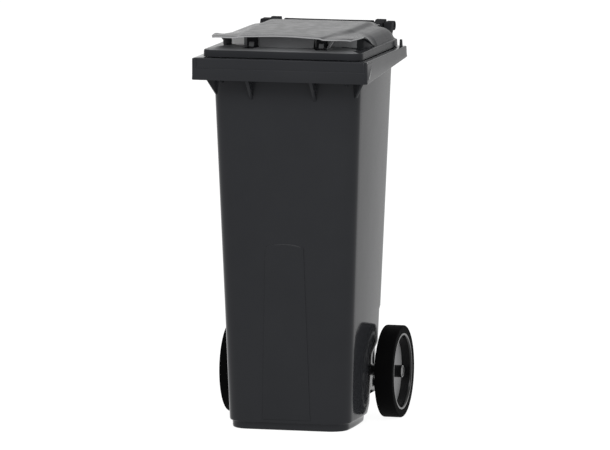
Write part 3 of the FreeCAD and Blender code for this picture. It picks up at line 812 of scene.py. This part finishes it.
def rim_details(material):
    """Apron below the rim's step, corner blocks, thicker side cheeks and lid guides."""
    foot = SKIRT_FRONT + 0.2
    apron = [(0.1, foot), (0.7, STEP_Z - 1.7), (2.6, STEP_Z), (5.0, STEP_Z), (5.0, foot + 0.6)]
    pieces = [prism("apron", apron, -236.5, 236.5, "x", material, 0.35, 2)]
    for side in (1, -1):
        block = [(229, 1.1), (235.6, 1.1)] + arc_points((235.2, 7.1), 6.0, -90, 0, 6)
        block = [(side * x, v) for x, v in block + [(241.2, 13.0), (229, 13.0)]]
        pieces.append(prism("corner_block", block, foot + 1.0, TOP - 1.2, "z", material, 0.7, 2))
        cheek = [(8, foot + 0.6), (30, foot + 1.6), (36, 960), (42, 970), (49, 981), (57, 991), (68, 1001),
                 (8, 1001)]
        low, high = sorted((side * 238.0, side * 241.7))
        pieces.append(prism("cheek", cheek, low, high, "x", material, 0.4, 2))
        low, high = sorted((side * 226.5, side * 233.5))
        fin = [(412.0, 1005.0), (413.0, 1012.0), (416.6, 1026.6), (420.4, 1026.8), (424.0, 1016.0),
               (426.0, 1005.0)]
        pieces.append(prism("lid_guide", fin, low, high, "x", material, 1.6, 3))
    return pieces


def gussets(material):
    """Ribs that carry the rim: two in front and two round each front corner."""
    pieces = []
    tip, head, half = 892.0, 1004.0, 4.5
    for x in (-90.5, 84.5):
        outline = [(5.0, head), (5.0, SKIRT_FRONT + 1.0), (tub_front(tip) + 1.0, tip),
                   (tub_front(1000.0) + 3, head)]
        pieces.append(prism("gusset", outline, x - half, x + half, "x", material, 1.3))
    level = 930.0
    radius = tub_corner(level)
    centre_x, centre_v = tub_half(level) - radius + 2.0, tub_front(level) + radius
    for side in (1, -1):
        for angle, reach, tip in ((55.0, 72.0, 903.0), (16.0, 78.0, 936.0)):
            outline = [(3 - radius, head), (3 - radius, tip), (0.5 - radius, tip),
                       (-reach, SKIRT_FRONT + 3.0), (-reach, head)]
            outline = [(centre_v + v, z) for v, z in outline]
            middle = side * centre_x
            turn = (place(middle, centre_v, 0.0), side * math.radians(angle))
            pieces.append(prism("corner_gusset", outline, middle - half, middle + half, "x", material, 1.3,
                                turn=turn))
    return pieces


def front_panel(material):
    """Faint raised panel on the front: steep sides, and an arched top with a wider slope."""
    left, right, top, arch = -54.0, 51.0, 496.0, 8.0
    centre, reach, steps = (left + right) / 2.0, (right - left) / 2.0, 12
    outline = [(-65.0, 30.0), (67.0, 30.0), (right, top)]
    for step in range(1, steps):
        x = right - 2.0 * reach * step / steps
        outline.append((x, top + arch * (1.0 - ((x - centre) / reach) ** 2)))
    outline.append((left, top))
    foot = [(x + math.copysign(0.7, x), z + (3.0 if z > top else 0.0)) for x, z in outline]
    bm = slab([place(x, tub_front(z) - 1.7, z) for x, z in outline],
              [place(x, tub_front(z) + 0.6, z) for x, z in foot])
    return finish_mesh("front_panel", bm, material, 0.5, 2, 20.0)


def handle():
    """Grip bar on its two webs, with a hollow-ended horn outside each hinge knuckle."""
    material = finishes["hinge"]
    bar = [(-123.0, 0.4), (-123.0, 12.9), (-60.0, 12.6), (0.0, 12.5), (60.0, 12.6), (123.0, 12.9),
           (123.0, 0.4)]
    pieces = [lathe("grip_bar", bar, material, HINGE_V, HINGE_H, 48)]
    root = [(RIM_REAR + 2.0, TOP - 2.0), (RIM_REAR - 3.0, TOP - 2.0), (RIM_REAR - 3.0, SKIRT_REAR + 3.0),
            (RIM_REAR + 8.0, SKIRT_REAR + 3.0)]
    under = [(HINGE_V - 30.0, HINGE_H - 42.0), (HINGE_V - 24.0, HINGE_H - 18.0)]
    arm = [(HINGE_V - 8.0, HINGE_H + 12.2), (HINGE_V - 34.0, HINGE_H + 12.2), (HINGE_V - 44.0, HINGE_H - 4.0)]
    arm += root + under + [(HINGE_V - 12.0, HINGE_H - 6.0)]
    web = [(HINGE_V - 6.0, HINGE_H - 11.5), (HINGE_V - 6.0, HINGE_H + 11.0), (HINGE_V - 24.0, HINGE_H + 1.0),
           (HINGE_V - 46.0, HINGE_H - 14.0)] + root + under
    horn = [(163.2, 7.2), (163.2, 12.0), (164.2, 12.9), (182.8, 12.9), (183.8, 12.0), (183.8, 11.2),
            (183.2, 10.8), (170.2, 10.8), (170.2, 7.2)]
    collar = [(114.0, 7.2), (114.0, 12.9), (123.9, 12.9), (123.9, 7.2)]
    for side in (1, -1):
        low, high = sorted((side * 163.2, side * 183.8))
        pieces.append(carve(prism("horn_arm", arm, low, high, "x", material, 1.2),
                            bore_cutter(low, high, 11.8, HINGE_V, HINGE_H, 48)))
        pieces.append(lathe("horn_ring", [(side * x, r) for x, r in horn], material, HINGE_V, HINGE_H, 48))
        low, high = sorted((side * 114.2, side * 123.8))
        pieces.append(prism("bar_web", web, low, high, "x", material, 1.2))
        pieces.append(lathe("web_ring", [(side * x, r) for x, r in collar], material, HINGE_V, HINGE_H, 48))
    return pieces


def axle_brackets(material):
    """Upright plates that carry the axle, each with a rounded slot above and below it."""
    pieces = []
    radius, slot_v = 9.4, AXLE_V - 4.0
    outline = [(338, 66.2)] + arc_points((AXLE_V + 15.8, 71.4), 5.0, -90, 0, 4)
    outline += [(AXLE_V + 20.8, 182), (AXLE_V + 17.0, 191), (AXLE_V + 4.0, 204.5), (395, 206), (338, 190)]
    for side in (1, -1):
        low, high = sorted((side * 150.2, side * 158.4))
        cutters = []
        for foot, head in ((AXLE_H + 17.2, AXLE_H + 43.0), (AXLE_H - 44.0, AXLE_H - 17.2)):
            slot = arc_points((slot_v, head - radius), radius, 0, 180, 10)
            slot += arc_points((slot_v, foot + radius), radius, 180, 360, 10)
            cutters.append(prism("slot", slot, low - 3, high + 3, "x", material, 0.0))
        cutters.append(bore_cutter(low, high, 11.1, AXLE_V, AXLE_H, 40))
        pieces.append(carve(prism("axle_plate", outline, low, high, "x", material, 1.5), *cutters))
    return pieces


def build_body():
    material = finishes["body"]
    pieces = [tub_shell(material), front_panel(material)] + rim_details(material) + gussets(material)
    pieces += handle() + axle_brackets(material)
    body = join("body_moulding", pieces)
    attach(body, "bin")
    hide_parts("body")


# ---- wheels ---------------------------------------------------------------------------------------
WHEEL_INNER = 191.2
WHEEL_FACE = 241.8
BARREL = 97.0
WEB_THICKNESS = 4.8
HUB_BORE = 14.1
RIB_COUNT = 8
RIB_HALF = 1.9
BOX_FACES = ((0, 1, 3, 2), (4, 6, 7, 5), (0, 4, 5, 1), (2, 3, 7, 6), (0, 2, 6, 4), (1, 5, 7, 3))


def web_face(r):
    """The web's outer face is dished a little towards the hub."""
    return mix(205.0, 213.0, smooth_step(r, 18.0, BARREL))


def wheel_rib(index):
    """One of the ribs behind the web, from the hub to the barrel."""
    angle = 2.0 * math.pi * index / RIB_COUNT
    cos, sin = math.cos(angle), math.sin(angle)
    bm = bmesh.new()
    corners = [bm.verts.new(place(x, AXLE_V + y * cos - r * sin, AXLE_H + y * sin + r * cos))
               for x in (197.5, 205.5) for y in (-RIB_HALF, RIB_HALF) for r in (16.0, BARREL)]
    for loop in BOX_FACES:
        bm.faces.new([corners[i] for i in loop])
    return finish_mesh("rib", bm, finishes["wheel"], 0.8, 2)


def wheel(side):
    """Tyre, wheel rim and hub cap of the wheel on one side, made on the right and mirrored for the left."""
    plastic = finishes["wheel"]
    suffix = "right" if side > 0 else "left"
    tyre = [(WHEEL_INNER, 104.2), (WHEEL_FACE - 0.8, 104.2), (WHEEL_FACE, 105.0), (WHEEL_FACE, 120.6)]
    tyre += arc_points((WHEEL_FACE - 4.0, 120.9), 4.0, 10, 90, 6)
    tyre += arc_points((WHEEL_INNER + 4.0, 120.9), 4.0, 90, 180, 7)
    tread = lathe("tyre", tyre, finishes["tyre"], AXLE_V, AXLE_H, 160)
    barrel = [(192.4, 104.0), (240.2, 104.0), (241.0, 103.2), (241.0, 98.6), (240.2, 97.8), (236.0, BARREL),
              (192.4, BARREL - 1.0)]
    hub = [(192.4, HUB_BORE), (192.4, 17.0), (235.9, 16.8), (235.9, HUB_BORE)]
    radii = [15.0, 18.0, 24.0, 34.0, 46.0, 60.0, 74.0, 86.0, 97.5]
    web = [(web_face(r), r) for r in radii] + [(web_face(r) - WEB_THICKNESS, r) for r in reversed(radii)]
    pieces = [lathe("barrel", barrel, plastic, AXLE_V, AXLE_H, 160),
              lathe("hub", hub, plastic, AXLE_V, AXLE_H, 64),
              lathe("web", web, finishes["web"], AXLE_V, AXLE_H, 128, 60.0)]
    rim = join("rim", pieces + [wheel_rib(index) for index in range(RIB_COUNT)])
    cap = [(236.0, 0.3), (236.0, 16.7), (239.0, 16.7), (239.8, 15.9), (239.8, 13.6), (238.4, 12.6),
           (238.2, 0.3)]
    cap = lathe("cap", cap, plastic, AXLE_V, AXLE_H, 64)
    for piece, kind, slot in ((tread, "tyre", "tyre_rubber"), (rim, "wheel_rim", "wheel_plastic"),
                              (cap, "hub_cap", "wheel_plastic")):
        if side < 0:
            twin = mirror_copy(piece, kind)
            bpy.data.objects.remove(piece)
            piece = twin
        piece.name = kind + "_look_" + suffix
        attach(piece, "wheel_" + suffix)
        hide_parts(kind + "_" + suffix)


look_camera()
studio()
finishes = {key: moulded(*row) for key, row in FINISHES.items()}
dress_cad(finishes)
build_lid()
build_body()
wheel(1)
wheel(-1)
